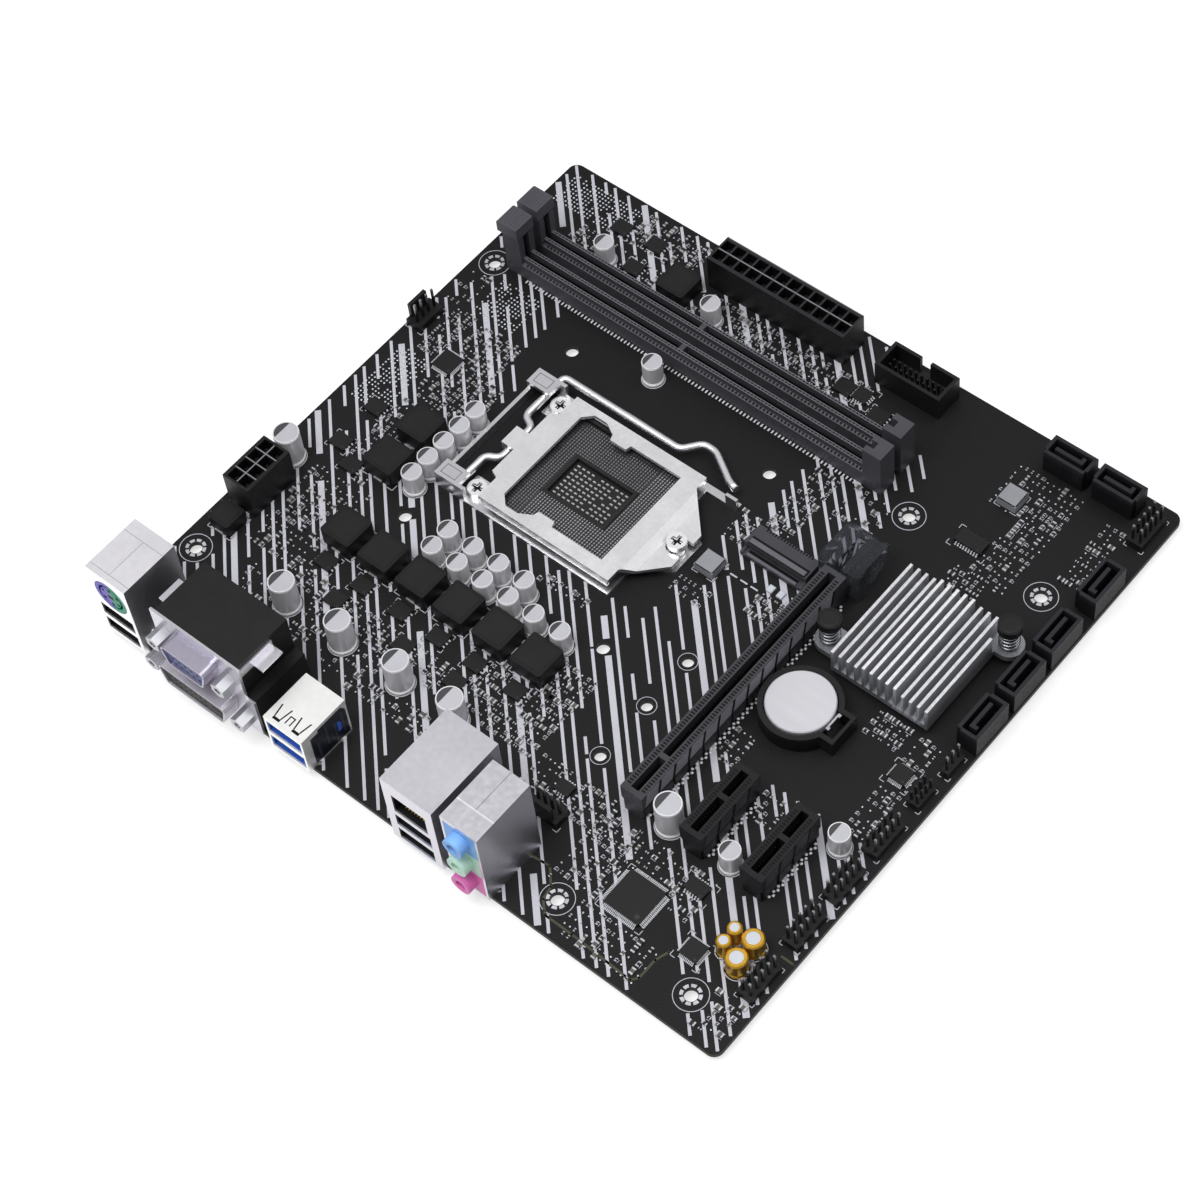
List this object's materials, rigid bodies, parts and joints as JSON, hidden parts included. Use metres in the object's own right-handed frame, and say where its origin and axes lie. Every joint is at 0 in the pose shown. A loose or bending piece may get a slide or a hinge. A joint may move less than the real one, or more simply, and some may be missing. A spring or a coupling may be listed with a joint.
{
  "type": "computer motherboard",
  "caption": "Micro-ATX computer motherboard with a land grid processor socket and load plate, memory and expansion slots, drive and rear ports, chipset cooler and coin cell.",
  "frame": {"origin": "centre of the rear lower mounting hole at the board's underside", "axes": "+X from the rear port edge to the front edge, +Y from the lower edge to the upper edge, +Z out of the component side"},
  "size_m": [0.2174, 0.226, 0.0356],
  "materials": {
    "solder_mask": "matte",
    "black_plastic": "matte",
    "dark_grey_plastic": "satin",
    "clear_grey_plastic": "gloss",
    "nickel_steel": "satin",
    "tin_shell": "satin",
    "zinc_steel": "satin",
    "fin_aluminium": "satin",
    "gold_contact": "polished",
    "tin_pin": "polished",
    "violet_plastic": "satin",
    "blue_plastic": "satin",
    "light_blue_plastic": "satin",
    "mint_plastic": "satin",
    "pink_plastic": "satin",
    "white_plastic": "satin",
    "can_aluminium": "satin",
    "gold_can": "gloss",
    "choke_powder": "matte",
    "chip_epoxy": "satin",
    "chip_substrate": "gloss",
    "spring_wire": "polished"
  },
  "bodies": {
    "board": {"pcb": "solder_mask", "socket_housing": "black_plastic", "socket_contacts": "gold_contact", "ilm_frame": "nickel_steel", "socket_backplate": "zinc_steel", "ilm_screws": "nickel_steel", "dimm_slot_a": "dark_grey_plastic", "dimm_slot_b": "dark_grey_plastic", "pcie_x16_slot": "dark_grey_plastic", "pcie_x1_slot_a": "black_plastic", "pcie_x1_slot_b": "black_plastic", "card_edge_contacts": "gold_contact", "m2_socket": "dark_grey_plastic", "atx_power_housing": "black_plastic", "eps_power_housing": "black_plastic", "power_pins": "tin_pin", "usb3_front_header": "black_plastic", "cpu_fan_header": "black_plastic", "case_fan_header": "black_plastic", "pin_header_bases": "black_plastic", "header_pins": "tin_pin", "sata_ports": "dark_grey_plastic", "chipset": "chip_substrate", "chipset_heatsink": "fin_aluminium", "push_pin_spring_a": "spring_wire", "push_pin_spring_b": "spring_wire", "battery_holder": "black_plastic", "ps2_usb_shell": "tin_shell", "ps2_socket": "violet_plastic", "usb2_insert": "black_plastic", "video_body": "black_plastic", "video_faceplate": "tin_shell", "vga_shell": "tin_shell", "vga_insert": "blue_plastic", "dvi_shell": "tin_shell", "dvi_insert": "white_plastic", "jack_screws": "nickel_steel", "usb3_stack_shell": "tin_shell", "usb3_stack_insert": "blue_plastic", "lan_usb_shell": "tin_shell", "lan_usb_insert": "blue_plastic", "audio_body": "tin_shell", "audio_jack_blue": "light_blue_plastic", "audio_jack_green": "mint_plastic", "audio_jack_pink": "pink_plastic", "bulk_caps": "can_aluminium", "polymer_caps": "can_aluminium", "audio_caps": "gold_can", "chokes": "choke_powder", "mosfets": "chip_epoxy", "ic_packages": "chip_epoxy"},
    "load_lever": {"load_lever": "nickel_steel"},
    "load_plate": {"load_plate": "nickel_steel"},
    "dimm_latch_a": {"dimm_latch_a": "dark_grey_plastic"},
    "dimm_latch_b": {"dimm_latch_b": "dark_grey_plastic"},
    "pcie_latch": {"pcie_x16_latch": "clear_grey_plastic"},
    "coin_cell": {"coin_cell": "nickel_steel"},
    "battery_clip": {"battery_clip": "tin_pin"},
    "push_pin_a": {"push_pin_a": "black_plastic"},
    "push_pin_b": {"push_pin_b": "black_plastic"}
  },
  "joints": [
    {"name": "lever_hinge", "type": "hinge", "parent": "board", "child": "load_lever", "pos_m": [0.10544, 0.15525, 0.0052], "axis": [-1, 0, 0], "range_deg": [0, 130]},
    {"name": "plate_hinge", "type": "hinge", "parent": "load_lever", "child": "load_plate", "pos_m": [0.10544, 0.15105, 0.0052], "axis": [-1, 0, 0], "range_deg": [-30, 0]},
    {"name": "memory_latch_a_hinge", "type": "hinge", "parent": "board", "child": "dimm_latch_a", "pos_m": [0.15914, 0.19655, 0.0052], "axis": [-1, 0, 0], "range_deg": [0, 35]},
    {"name": "memory_latch_b_hinge", "type": "hinge", "parent": "board", "child": "dimm_latch_b", "pos_m": [0.16864, 0.19655, 0.0052], "axis": [-1, 0, 0], "range_deg": [0, 35]},
    {"name": "card_latch_hinge", "type": "hinge", "parent": "board", "child": "pcie_latch", "pos_m": [0.12444, 0.04615, 0.0042], "axis": [0, 1, 0], "range_deg": [0, 15], "stiffness_Nm_per_rad": 0.05},
    {"name": "coin_cell_lift", "type": "slide", "parent": "board", "child": "coin_cell", "axis": [0, 0, 1], "range_m": [0, 0.008]},
    {"name": "battery_clip_flex", "type": "hinge", "parent": "board", "child": "battery_clip", "pos_m": [0.08434, 0.01855, 0.0025], "axis": [1, 0, 0], "range_deg": [0, 12], "stiffness_Nm_per_rad": 0.05},
    {"name": "push_pin_a_press", "type": "slide", "parent": "board", "child": "push_pin_a", "axis": [0, 0, -1], "range_m": [0, 0.0015], "stiffness_N_per_m": 500, "deforming": ["push_pin_spring_a"]},
    {"name": "push_pin_b_press", "type": "slide", "parent": "board", "child": "push_pin_b", "axis": [0, 0, -1], "range_m": [0, 0.0015], "stiffness_N_per_m": 500, "deforming": ["push_pin_spring_b"]}
  ],
  "couplings": [
    {"joint": "plate_hinge", "follows": "lever_hinge", "ratio": -0.23077}
  ]
}
